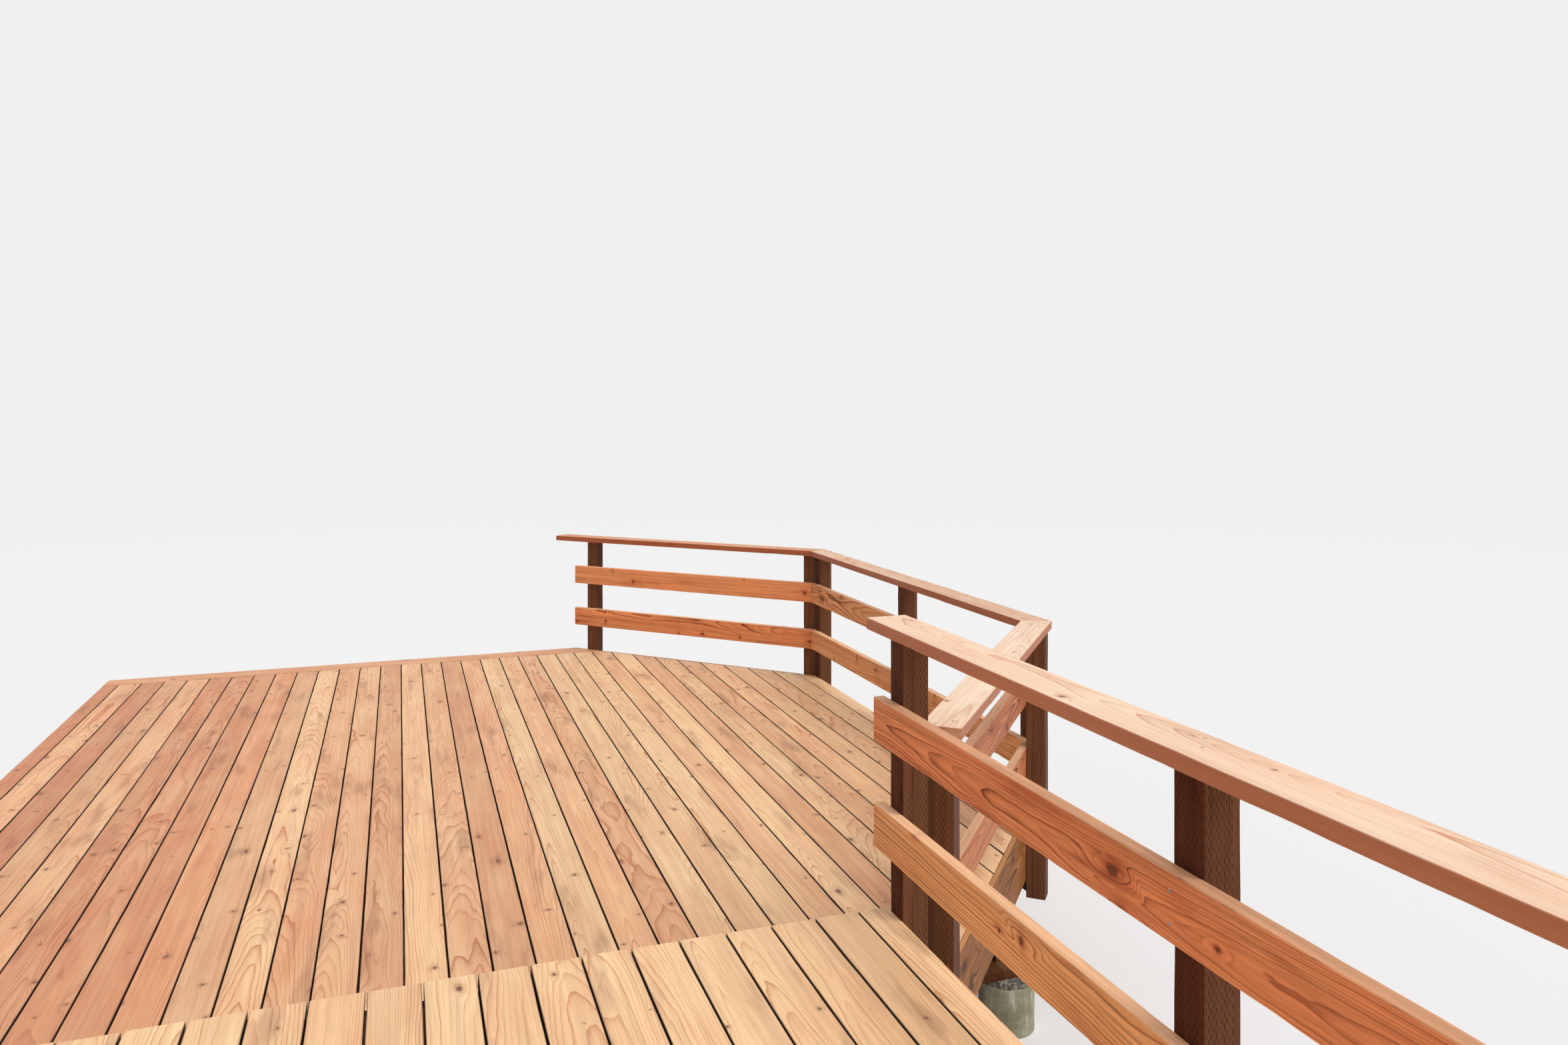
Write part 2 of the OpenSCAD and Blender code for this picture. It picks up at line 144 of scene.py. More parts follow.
class DeckView(bpy.types.PropertyGroup):
    """Camera and light."""
    eye: FloatVectorProperty(name="Eye", description="Place of the camera", subtype="TRANSLATION",
                             unit="LENGTH", default=(-0.50525, -4.13341, 2.753))
    turn: FloatProperty(name="Turn", description="Turn of the view to the right of the boards",
                        subtype="ANGLE", unit="ROTATION", default=math.radians(19.37))
    lens: FloatProperty(name="Lens", description="Focal length for a 36 mm wide sensor",
                        default=25.148, min=5, subtype="DISTANCE_CAMERA")
    drop: FloatProperty(name="Drop", description="Downward shift of the picture, in widths",
                        default=0.06896, min=0, max=1)
    sky: FloatProperty(name="Sky", description="Strength of the even light", default=0.55, min=0)
    sun: FloatProperty(name="Lamp", description="Strength of the soft lamp from above", default=2.0, min=0)
    backdrop: FloatProperty(name="Backdrop", description="Brightness of the background", default=0.87, min=0)


GROUPS = {"deck_timber": DeckTimber, "deck_colours": DeckColours, "deck_screws": DeckScrews,
          "deck_stones": DeckStones, "deck_view": DeckView}


def adding(operation):
    """Method of a wire that adds a math node to it."""
    return lambda wire, *others: wire.nodes.math(operation, wire, *others)


class Wire:
    """A value in a node tree; plain arithmetic on it adds math nodes."""
    __add__ = adding("ADD")
    __sub__ = adding("SUBTRACT")
    __mul__ = adding("MULTIPLY")
    __truediv__ = adding("DIVIDE")
    __pow__ = adding("POWER")
    __abs__ = adding("ABSOLUTE")

    def __init__(self, nodes, socket):
        self.nodes, self.socket = nodes, socket


class Nodes:
    """Adds nodes to a tree, with values and links given together."""

    def __init__(self, tree):
        self.tree = tree

    def add(self, kind, inputs=None, **settings):
        node = self.tree.nodes.new(kind)
        row, column = divmod(len(self.tree.nodes), 12)
        node.location = (180 * column, -220 * row)
        for key, value in settings.items():
            setattr(node, key, value)
        self.fit(node, inputs or {})
        return node

    def fit(self, node, inputs):
        """Gives a node's inputs their values or links."""
        for key, value in inputs.items():
            self.put(node.inputs[key], value)

    def put(self, socket, value):
        value = value.socket if isinstance(value, Wire) else value
        if isinstance(value, bpy.types.NodeSocket):
            self.tree.links.new(value, socket)
        elif socket.type == "RGBA" and len(value) == 3:
            socket.default_value = (*value, 1)
        else:
            socket.default_value = value

    def wire(self, kind, inputs=None, output=0, **settings):
        """Adds a node and gives one of its outputs."""
        return Wire(self, self.add(kind, inputs, **settings).outputs[output])

    def math(self, operation, *values, clamp=False):
        return self.wire("ShaderNodeMath", dict(enumerate(values)), operation=operation, use_clamp=clamp)

    def fract(self, value):
        return self.math("FRACT", value)

    def combine(self, x, y, z=0.0):
        return self.wire("ShaderNodeCombineXYZ", {0: x, 1: y, 2: z})

    def length(self, vector):
        return self.wire("ShaderNodeVectorMath", {0: vector}, "Value", operation="LENGTH")

    def split(self, vector):
        return [Wire(self, socket) for socket in self.add("ShaderNodeSeparateXYZ", {0: vector}).outputs]

    def noise(self, vector, scale=1.0, detail=2.0, roughness=0.5, output="Fac"):
        return self.wire("ShaderNodeTexNoise", {
            "Vector": vector, "Scale": scale, "Detail": detail, "Roughness": roughness}, output)

    def step(self, value, low, high):
        """Smooth step of value from 0 at low to 1 at high."""
        return self.wire("ShaderNodeMapRange", {"Value": value, "From Min": low, "From Max": high},
                         interpolation_type="SMOOTHSTEP")

    def fall(self, value, low, high):
        """Smooth step of value down from 1 at low to 0 at high."""
        return self.step(value, high, low)

    def bell(self, value, width):
        """Bell curve of value, 1 at zero."""
        share = value / width
        return self.math("EXPONENT", share * share * -1)

    def mix(self, share, a, b, blend="MIX"):
        node = self.add("ShaderNodeMix", data_type="RGBA", blend_type=blend, clamp_factor=True)
        for socket, value in zip([s for s in node.inputs if s.enabled], (share, a, b)):
            self.put(socket, value)
        return Wire(self, [s for s in node.outputs if s.enabled][0])

    def tint(self, colour, by):
        return self.mix(1.0, colour, by, "MULTIPLY")

    def attribute(self, name, output="Fac"):
        return self.wire("ShaderNodeAttribute", None, output, attribute_name=name)

    def place(self):
        return self.wire("ShaderNodeTexCoord", None, "Object")

    def join(self, *parts):
        whole = self.add("GeometryNodeJoinGeometry")
        for part in parts:
            self.put(whole.inputs[0], part)
        return Wire(self, whole.outputs[0])

    def fill(self, curve):
        return self.wire("GeometryNodeFillCurve", {"Curve": curve})

    def lift(self, part, by):
        return self.wire("GeometryNodeTransform", {"Geometry": part, "Translation": by})

    def stored(self, name, kind):
        return self.wire("GeometryNodeInputNamedAttribute", {"Name": name}, data_type=kind)


KINDS = {float: "Float", int: "Int"}


def open_group(name, inputs, outputs, kind="ShaderNodeTree"):
    """New node group. Its inputs are given by their defaults or, without one, by their kind."""
    tree = bpy.data.node_groups.new(name, kind)
    for label, default in inputs.items():
        socket_type = KINDS.get(type(default), default)
        socket = tree.interface.new_socket(label, in_out="INPUT", socket_type="NodeSocket" + socket_type)
        if socket_type != default:
            socket.default_value = default
    for label, socket_type in outputs.items():
        tree.interface.new_socket(label, in_out="OUTPUT", socket_type="NodeSocket" + socket_type)
    n = Nodes(tree)
    given = {socket.name: Wire(n, socket) for socket in n.add("NodeGroupInput").outputs}
    return tree, n, given, n.add("NodeGroupOutput")


def add_object(name, data):
    """New object at the origin, in the scene's own collection."""
    made = bpy.data.objects.new(name, data)
    bpy.context.scene.collection.objects.link(made)
    return made


def apply_nodes(piece, tree, settings, finish):
    """Runs a geometry node group with the settings of its inputs' names, and keeps the mesh it makes."""
    modifier = piece.modifiers.new(tree.name, "NODES")
    modifier.node_group = tree
    for item in tree.interface.items_tree:
        value = finish if item.name == "Finish" else getattr(settings, item.name.lower(), None)
        if value is not None:
            modifier[item.identifier] = value
    depsgraph = bpy.context.evaluated_depsgraph_get()
    made = bpy.data.meshes.new_from_object(piece.evaluated_get(depsgraph), depsgraph=depsgraph)
    piece.modifiers.remove(modifier)
    made.name = piece.name
    piece.data = made


def random_turn(n, direction, seed):
    """Rotation that stands on a direction, with a random turn about it."""
    stand = n.wire("FunctionNodeAlignRotationToVector", {"Vector": direction}, axis="Z")
    turn = n.wire("FunctionNodeRandomValue", {"Seed": seed, 3: 2 * math.pi}, 1, data_type="FLOAT")
    spin = n.wire("FunctionNodeAxisAngleToRotation", {"Axis": (0, 0, 1), "Angle": turn})
    return n.wire("FunctionNodeRotateRotation", {"Rotation": stand, "Rotate By": spin},
                  rotation_space="LOCAL")


def put_copies(n, given, out, inputs):
    """Ends a group with a copy on every point, made real and given its finish."""
    copies = n.wire("GeometryNodeInstanceOnPoints", inputs)
    real = n.wire("GeometryNodeRealizeInstances", {"Geometry": copies})
    n.fit(out, {0: n.wire("GeometryNodeSetMaterial", {"Geometry": real, "Material": given["Finish"]})})


# A screw's star-shaped socket, as shares of the head's radius, and the height of its floor
STAR_INNER = 0.34
STAR_OUTER = 0.46
SOCKET_FLOOR = 0.0002


def screw_nodes():
    """A screw head with a star-shaped socket on every point, facing the point's own way."""
    tree, n, given, out = open_group("Screw heads", {
        "Points": "Geometry", "Head": 0.009, "Stand": 0.0005, "Socket": 0.002, "Seed": 4,
        "Finish": "Material"}, {"Screws": "Geometry"}, "GeometryNodeTree")
    radius = given["Head"] * 0.5
    rim = n.wire("GeometryNodeCurvePrimitiveCircle", {"Resolution": 20, "Radius": radius})
    star = n.wire("GeometryNodeCurveStar", {
        "Points": 6, "Inner Radius": radius * STAR_INNER, "Outer Radius": radius * STAR_OUTER})
    ring = n.fill(n.join(star, rim))
    head = n.wire("GeometryNodeExtrudeMesh", {
        "Mesh": ring, "Offset Scale": given["Socket"], "Individual": False}, mode="FACES")
    floor = n.lift(n.fill(star), (0, 0, SOCKET_FLOOR))
    under = n.wire("GeometryNodeFlipFaces", {"Mesh": n.fill(rim)})
    sunk = n.combine(0.0, 0.0, given["Stand"] - given["Socket"])
    put_copies(n, given, out, {
        "Points": given["Points"], "Instance": n.lift(n.join(floor, under, head), sunk),
        "Rotation": random_turn(n, n.stored("facing", "FLOAT_VECTOR"), given["Seed"])})
    return tree


# Least and greatest size of a stone along its three axes, as shares of the middle size
STONE_LEAST = (0.5, 0.5, 0.4)
STONE_MOST = (1.5, 1.3, 0.9)


def stone_nodes():
    """Small stones bedded in the rough faces of the piers."""
    tree, n, given, out = open_group("Bedded stones", {
        "Pier": "Geometry", "Density": 5600.0, "Size": 0.0065, "Seed": 7,
        "Finish": "Material"}, {"Stones": "Geometry"}, "GeometryNodeTree")
    spread = n.add("GeometryNodeDistributePointsOnFaces", {
        "Mesh": given["Pier"], "Selection": n.math("GREATER_THAN", n.stored("rim", "FLOAT"), 0.5),
        "Density": given["Density"], "Seed": given["Seed"]}).outputs
    ball = n.wire("GeometryNodeMeshIcoSphere", {"Radius": 0.5, "Subdivisions": 1})
    shape = n.wire("FunctionNodeRandomValue", {
        "Seed": given["Seed"], 0: STONE_LEAST, 1: STONE_MOST}, data_type="FLOAT_VECTOR")
    put_copies(n, given, out, {
        "Points": spread["Points"], "Instance": ball,
        "Rotation": random_turn(n, spread["Normal"], given["Seed"]),
        "Scale": n.wire("ShaderNodeVectorMath", {0: shape, "Scale": given["Size"]}, operation="SCALE")})
    return tree


# Cells of the knots; a share of them, given by Knots, holds one
KNOT_STEP_ALONG = 0.30
KNOT_STEP_ACROSS = 0.11
# How freely the cells scatter, and the border in which a knot fades
KNOT_SCATTER = 0.9
KNOT_BORDER = 0.16
# The log's heart nears or leaves the board by this much to the metre
LOG_TAPER = 0.012
# How far the rings waver, and how far a knot parts and pushes them
RING_WAVER = 0.0028
RING_PART = 0.85
RING_PUSH = 0.6
# Share of each ring at which the dark late wood ends, and the tint of the end grain
LATE_END = 0.94
END_GRAIN = shade(226, 198, 174)


def grain_noise(n, grain, along, across, shift=0.0, **settings):
    """Noise on the wood's own coordinates, with its turns to the metre along and across the grain."""
    u, v, w = grain
    return n.noise(n.combine(u * along + shift, v * across, w * across), **settings)


def log_radius(n, grain, shift, wander):
    """Distance from the log's heart, which wanders along the board and so draws the long arches."""
    u, v, w = grain
    _, sway_v, sway_w = n.split(grain_noise(n, grain, 0.9, 4.0, shift, detail=1.5, output="Color"))
    reach = wander * 2.0
    across = (sway_v - 0.5) * reach + v
    through = (sway_w - 0.5) * reach + (u * LOG_TAPER + w)
    return across, n.length(n.combine(0.0, across, through))


def find_knots(n, grain, chance, quick, given):
    """The knots of a board: their place, distance and size, their core and the halo round it."""
    u, v, _ = grain
    along = chance * 9.0 + u
    field = {"Vector": n.combine(along / KNOT_STEP_ALONG, v / KNOT_STEP_ACROSS), "Scale": 1.0,
             "Randomness": KNOT_SCATTER}
    cell = n.add("ShaderNodeTexVoronoi", field, voronoi_dimensions="2D").outputs
    border = n.wire("ShaderNodeTexVoronoi", field, "Distance", voronoi_dimensions="2D",
                    feature="DISTANCE_TO_EDGE")
    centre_u, centre_v, _ = n.split(cell["Position"])
    luck, size_share, _ = n.split(cell["Color"])
    knot_u = along - centre_u * KNOT_STEP_ALONG
    knot_v = v - centre_v * KNOT_STEP_ACROSS
    here = n.math("LESS_THAN", luck, given["Knots"]) * n.step(border, 0.0, KNOT_BORDER)
    size = given["Knot size"] * (size_share * 1.2 + 0.4)
    squash = n.fract(luck * 17.0) * 0.9 + 0.45
    far = (quick * 2.6 - 0.25) * n.length(n.combine(knot_u * squash, knot_v))
    bulge = here * n.bell(n.length(n.combine(knot_u * 0.35, knot_v)), size * 2.2)
    core = here * n.fall(far, size * 0.65, size * 0.95)
    halo = here * n.bell(far, size * 2.0)
    return SimpleNamespace(v=knot_v, far=far, size=size, bulge=bulge, core=core, halo=halo)


def late_wood(n, across, radius, quick, knot, shift, sharpness):
    """Growth rings: pale early wood that darkens to a sharp edge, parted by the knots."""
    bent = knot.bulge * knot.v * (across / radius) * -RING_PART + radius
    bent = knot.bulge * (knot.size * RING_PUSH) + bent
    bent = (quick - 0.5) * RING_WAVER + bent
    ring = bent / n.attribute("ring")
    phase = n.fract(ring)
    weight = n.wire("ShaderNodeTexWhiteNoise", {
        "W": n.math("FLOOR", ring) + n.math("FLOOR", shift)}, "Value", noise_dimensions="1D")
    late = (phase ** sharpness * 0.85 + phase ** 2.0 * 0.28) * n.fall(phase, LATE_END, 1.0)
    return n.math("MULTIPLY", late, weight + 0.35, clamp=True)


def brightness(n, grain, shift, fibre, dark, share):
    """Grey that tints the wood with its fibres, its streaks and each board's darkness, which holds painted
    light on the upper deck and painted shade on the near guard's rails.
    """
    streak = grain_noise(n, grain, 1.3, 60.0, shift)
    reach = share * 4.0
    grey = ((fibre - 0.5) * reach + 1.0) * ((streak - 0.5) * reach + 1.0) * (dark * -0.5 + 1.0)
    return n.combine(grey, grey, grey)


def stained(n, colour, patches, knot, given):
    """Adds dark stains, bleached patches and the knots with their reddish surrounds."""
    stain, pale_share, _ = patches
    colour = n.mix(n.step(stain, 0.56, 0.74) * given["Stain"], colour, n.tint(colour, given["Smudge"]))
    colour = n.mix(n.step(pale_share, 0.58, 0.8) * 0.22, colour, given["Pale"])
    colour = n.mix(knot.halo * 0.75, colour, n.tint(colour, given["Smudge"]))
    rings = n.step(n.fract(knot.far / (knot.size * 0.36)), 0.1, 0.9)
    heart = n.mix(rings, given["Knot"], n.mix(0.2, given["Knot"], given["Warm"]))
    return n.mix(knot.core * 0.85, colour, heart)


@cache
def timber_group():
    """Growth rings, fibres, knots and stains of a sawn board, with light and shade painted on its sides."""
    tree, n, given, out = open_group("Sawn timber", {
        "Pale": "Color", "Warm": "Color", "Line": "Color", "Knot": "Color", "Smudge": "Color",
        "Side": "Color", "Side share": 0.0, "Ring contrast": 0.7, "Ring sharpness": 7.0,
        "Wander": 0.03, "Knots": 0.4, "Knot size": 0.008, "Fibre": 0.06, "Stain": 0.2,
    }, {"Color": "Color", "Roughness": "Float", "Height": "Float"})
    grain = n.split(n.attribute("grain", "Vector"))
    warmth, dark, chance = n.split(n.attribute("tone", "Vector"))
    shift = chance * 37.0
    quick = grain_noise(n, grain, 6.0, 26.0)
    fibre = grain_noise(n, grain, 7.0, 190.0, detail=4.0, roughness=0.7)
    patches = n.split(grain_noise(n, grain, 2.1, 9.0, shift, detail=3.0, output="Color"))
    across, radius = log_radius(n, grain, shift, given["Wander"])
    knot = find_knots(n, grain, chance, quick, given)
    late = late_wood(n, across, radius, quick, knot, shift, given["Ring sharpness"])
    grey = brightness(n, grain, shift, fibre, dark, given["Fibre"])

    base = n.mix(n.math("ADD", patches[2] - 0.5, warmth, clamp=True), given["Pale"], given["Warm"])
    colour = n.mix(late * given["Ring contrast"], base, n.tint(base, given["Line"]))
    colour = stained(n, n.tint(colour, grey), patches, knot, given)
    end = n.attribute("end_grain")
    colour = n.mix(end * 0.85, colour, n.tint(colour, END_GRAIN))
    # Faces across the piece take the Side colour, light and shade painted by slot: shade in the deck's gaps
    # and on the caps' redder sides, a highlight on the rails' and fascias' top and bottom edges, and a
    # lighter, greyer tint on the posts' faces, partly their weathered grey
    side = n.attribute("side") * given["Side share"]
    n.fit(out, {"Color": n.mix(side, colour, n.tint(given["Side"], grey)),
                "Roughness": fibre * 0.2 + 0.47 + end * 0.15,
                "Height": fibre * 0.5 + late * 0.35 + knot.core * -0.3})
    return tree


def new_material(name):
    """An empty material, its nodes and its shader."""
    material = bpy.data.materials.new(name)
    material.use_nodes = True
    return material, Nodes(material.node_tree), material.node_tree.nodes["Principled BSDF"]


def dress(n, shader, colour, rough, height, relief):
    """Links a shader's colour, roughness and relief."""
    bump = n.wire("ShaderNodeBump", {"Distance": relief, "Height": height})
    n.fit(shader, {"Base Color": colour, "Roughness": rough, "Normal": bump})


# Slits of a treated post: their steps across and along it, and their size
SLIT_PITCH = 0.0063
SLIT_ROW = 0.025
SLIT_LENGTH = 0.0125
SLIT_WIDTH = 0.0016
# Where the strip without slits starts, from the middle of each face, and how softly
PLAIN_FROM = 0.0245
PLAIN_EDGE = 0.001
# Depth of the slits, in depths of the wood's relief, and the painted shade in them and in the crack
SLIT_DEPTH = 2.5
SLIT_SHADE = shade(26, 15, 10)


def slits(n, face, chance, waver):
    """Staggered slits along the grain, worn away here and there."""
    u, v, _ = face
    column = (waver * 0.002 + v) / SLIT_PITCH
    odd = n.math("MODULO", abs(n.math("FLOOR", column)), 2.0)
    aside = abs(n.fract(column) - 0.5)
    along = abs(n.fract(odd * 0.5 + u / SLIT_ROW) - 0.5)
    half_width, half_length = 0.5 * SLIT_WIDTH / SLIT_PITCH, 0.5 * SLIT_LENGTH / SLIT_ROW
    slit = n.fall(aside, half_width, half_width + 0.08) * n.fall(along, half_length - 0.06, half_length)
    edge = n.math("GREATER_THAN", chance, 0.5) * 2.0 - 1.0
    worn = n.noise(n.combine(u * 5.0, v * 30.0, chance))
    return slit * n.fall(v * edge, PLAIN_FROM, PLAIN_FROM + PLAIN_EDGE) * n.step(worn, 0.3, 0.48)


def crack(n, face, chance, waver):
    """A drying crack that opens and closes along a post."""
    u, v, _ = face
    middle = (waver - 0.5) * 0.006 + (chance * 0.03 - 0.02)
    lengthwise = n.noise(n.combine(u * 2.0, chance), detail=1.0)
    return n.fall(abs(v - middle), 0.0006, 0.0013) * n.step(lengthwise, 0.43, 0.47)


def incised(n, colour, height):
    """Slits and a crack cut into the faces of a treated post, with painted shade in them."""
    chance = n.split(n.attribute("tone", "Vector"))[2]
    face = n.split(n.wire("ShaderNodeUVMap", uv_map="face"))
    waver = n.noise(n.combine(face[0] * 14.0, face[1] * 20.0, chance))
    cut = n.math("MAXIMUM", slits(n, face, chance, waver), crack(n, face, chance, waver))
    return n.mix(cut * 0.55, colour, SLIT_SHADE), cut * -SLIT_DEPTH + height


# Each slot's wood: values of the timber group, colours in 0 to 255, relief's depth and shine's strength
LOOKS = {
    # The deck's side colour is painted shade on the boards' sides, in the gaps between them
    "deck_wood": dict(
        line=(204, 156, 130), knot=(86, 52, 42), smudge=(176, 156, 150), ring_contrast=0.9, wander=0.022,
        knots=0.5, knot_size=0.0064, fibre=0.11, stain=0.5, side=(56, 34, 24), side_share=0.95,
        relief=0.0004, shine=0.45),
    # The caps' side colour is partly the redder wood of their sides and partly painted shade
    "cap_wood": dict(
        line=(212, 158, 126), knot=(120, 70, 46), smudge=(200, 160, 140), ring_contrast=0.85, wander=0.018,
        knots=0.35, knot_size=0.006, fibre=0.09, stain=0.3, side=(170, 86, 44), side_share=0.85,
        relief=0.0004, shine=0.25),
    # The rails' side colour is a painted highlight on their top and bottom edges
    "rail_wood": dict(
        line=(134, 88, 68), knot=(74, 34, 20), smudge=(176, 116, 82), ring_contrast=1.0,
        ring_sharpness=4.2, wander=0.016, knots=0.5, knot_size=0.0105, fibre=0.19, stain=0.5,
        side=(255, 206, 164), side_share=0.7, relief=0.0004, shine=0.15),
    # The fascias' side colour is a painted highlight on their top and bottom edges
    "fascia_wood": dict(
        line=(104, 62, 52), knot=(64, 34, 26), smudge=(126, 84, 84), ring_contrast=1.0,
        ring_sharpness=4.0, wander=0.05, knots=0.55, knot_size=0.012, fibre=0.18, stain=0.85,
        side=(226, 164, 112), side_share=0.5, relief=0.0004, shine=0.12),
    # The posts' side colour makes the faces across them lighter and greyer: partly weathered grey wood,
    # partly painted light
    "post_wood": dict(
        line=(150, 116, 96), knot=(40, 24, 16), smudge=(150, 120, 104), ring_contrast=0.6, wander=0.02,
        knots=0.25, knot_size=0.011, fibre=0.19, stain=0.45, side=(132, 88, 60), side_share=0.75,
        relief=0.0007, shine=0.06),
    "treated_wood": dict(
        line=(150, 116, 96), knot=(40, 24, 16), smudge=(150, 130, 116), ring_contrast=0.6, wander=0.03,
        knots=0.3, knot_size=0.011, fibre=0.16, stain=0.4, relief=0.0006, shine=0.06),
    "frame_wood": dict(
        line=(170, 124, 98), knot=(80, 50, 34), smudge=(150, 130, 116), ring_contrast=0.7, wander=0.03,
        knots=0.4, knot_size=0.010, fibre=0.14, stain=0.4, relief=0.0005, shine=0.25),
}


@cache
def timber_material(slot):
    """Wood finish of one slot, made once."""
    colours, family = bpy.context.scene.deck_colours, slot.removesuffix("_wood")
    values = {key.replace("_", " ").capitalize(): shade(*value) if isinstance(value, tuple) else value
              for key, value in LOOKS[slot].items()}
    values["Pale"], values["Warm"] = getattr(colours, family + "_pale"), getattr(colours, family + "_warm")
    relief, shine = values.pop("Relief"), values.pop("Shine")
    material, n, shader = new_material(slot + "_finish")
    wood = n.add("ShaderNodeGroup", values, node_tree=timber_group()).outputs
    colour, height = wood["Color"], wood["Height"]
    if slot == "post_wood":
        colour, height = incised(n, colour, height)
    dress(n, shader, colour, wood["Roughness"], height, relief)
    shader.inputs["Specular IOR Level"].default_value = shine
    material.diffuse_color = (*values["Pale"], 1)
    return material


# Ways that a piece's axes along and through it rather point
ALONG_TOWARDS = Vector((0.3, 1, 2))
THROUGH_TOWARDS = Vector((-1, 0.3, 2))
# Points this near are one point, and faces this near to flat are one face
SAME_PLACE = 1e-5
FLAT_ANGLE = math.radians(1)


class Solid:
    """One solid of a CAD node, with its own axes: along, across and through the piece."""

    def __init__(self, bm):
        self.bm = bm
        longest = max(bm.edges, key=lambda e: e.calc_length())
        along = (longest.verts[1].co - longest.verts[0].co).normalized()
        if along.dot(ALONG_TOWARDS) < 0:
            along = -along
        sides = [f for f in bm.faces if abs(f.normal.dot(along)) < 0.1]
        through = max(sides, key=lambda f: (round(f.calc_area(), 5), f.normal.dot(THROUGH_TOWARDS))).normal
        self.along = along
        self.through = (through - through.dot(along) * along).normalized()
        self.across = self.through.cross(along)
        self.axes = (self.along, self.across, self.through)
        reach = [[v.co.dot(axis) for v in bm.verts] for axis in self.axes]
        self.size = [max(r) - min(r) for r in reach]
        self.centre = sum((axis * (min(r) + size / 2) for axis, r, size in zip(self.axes, reach, self.size)),
                          Vector())

    def local(self, point):
        return Vector((point - self.centre).dot(axis) for axis in self.axes)

    def world(self, local):
        return self.centre + sum((axis * x for axis, x in zip(self.axes, local)), Vector())

    def cut(self, step):
        """Rings of points across the piece, a step apart."""
        count = int(self.size[0] / step)
        for i in range(1, count):
            place = self.centre + self.along * (i / count - 0.5) * self.size[0]
            everything = [*self.bm.verts, *self.bm.edges, *self.bm.faces]
            bmesh.ops.bisect_plane(self.bm, geom=everything, plane_co=place, plane_no=self.along)


def islands(bm):
    """Groups of points that hang together."""
    left = set(bm.verts)
    while left:
        pile, group = [left.pop()], []
        while pile:
            vert = pile.pop()
            group.append(vert)
            for edge in vert.link_edges:
                other = edge.other_vert(vert)
                if other in left:
                    left.remove(other)
                    pile.append(other)
        yield group


def copy_of(group):
    """A mesh of its own from a group of points and the faces on them."""
    one = bmesh.new()
    index = {vert: one.verts.new(vert.co) for vert in sorted(group, key=lambda x: x.index)}
    for face in sorted({face for vert in group for face in vert.link_faces}, key=lambda f: f.index):
        one.faces.new([index[vert] for vert in face.verts])
    one.normal_update()
    return one


def solids_of(node):
    """The separate solids of a CAD node, with each flat side as one face."""
    bm = bmesh.new()
    bm.from_mesh(frame["nodes"][node].data)
    bmesh.ops.remove_doubles(bm, verts=bm.verts, dist=SAME_PLACE)
    bmesh.ops.dissolve_limit(bm, angle_limit=FLAT_ANGLE, verts=bm.verts, edges=bm.edges)
    found = [Solid(copy_of(group)) for group in islands(bm)]
    return sorted(found, key=lambda solid: [round(place, 3) for place in solid.centre])


# Logs chosen for the boards nearest to the eye: the heart's place and the ring spacing
LOGS = {"upper_guard_mid_rail": (0.012, -0.062, 0.0022), "upper_guard_low_rail": (-0.125, -0.05, 0.0060),
        "side_guard_mid_rail": (0.02, -0.05, 0.0042), "near_guard_mid_rail": (-0.01, -0.03, 0.0046),
        "near_guard_low_rail": (0.03, -0.04, 0.0042), "near_side_fascia": (-0.02, -0.02, 0.0062)}
# Share of the boards that are sawn beside the heart and show arches
ARCHED_SHARE = 0.62


def saw(node, solid, rng):
    """Heart of the log from the board's middle, across and through, and the log's ring spacing."""
    if node in LOGS:
        return LOGS[node]
    ring = rng.uniform(0.0021, 0.0046)
    if rng.random() < ARCHED_SHARE:
        return rng.uniform(-0.4, 0.4) * solid.size[1], -rng.uniform(0.008, 0.055), ring
    return rng.choice((-1, 1)) * rng.uniform(0.07, 0.15), rng.uniform(-0.06, 0.06), ring


# Turns to the metre of the edges' wear, along and across a board, and the noise at which it starts
WEAR_ALONG = 9
WEAR_ACROSS = 30
WEAR_START = 0.15
# Turns to the metre of a board's bow
BOW_ALONG = 0.5
# Steps through the noise from board to board and from one direction to the other
BOARD_STEP = 3.7
OTHER_WAY = Vector((0, 9, 0))
# A face of the outermost boards lies this near to the deck's edge
EDGE_NEAR = 0.002


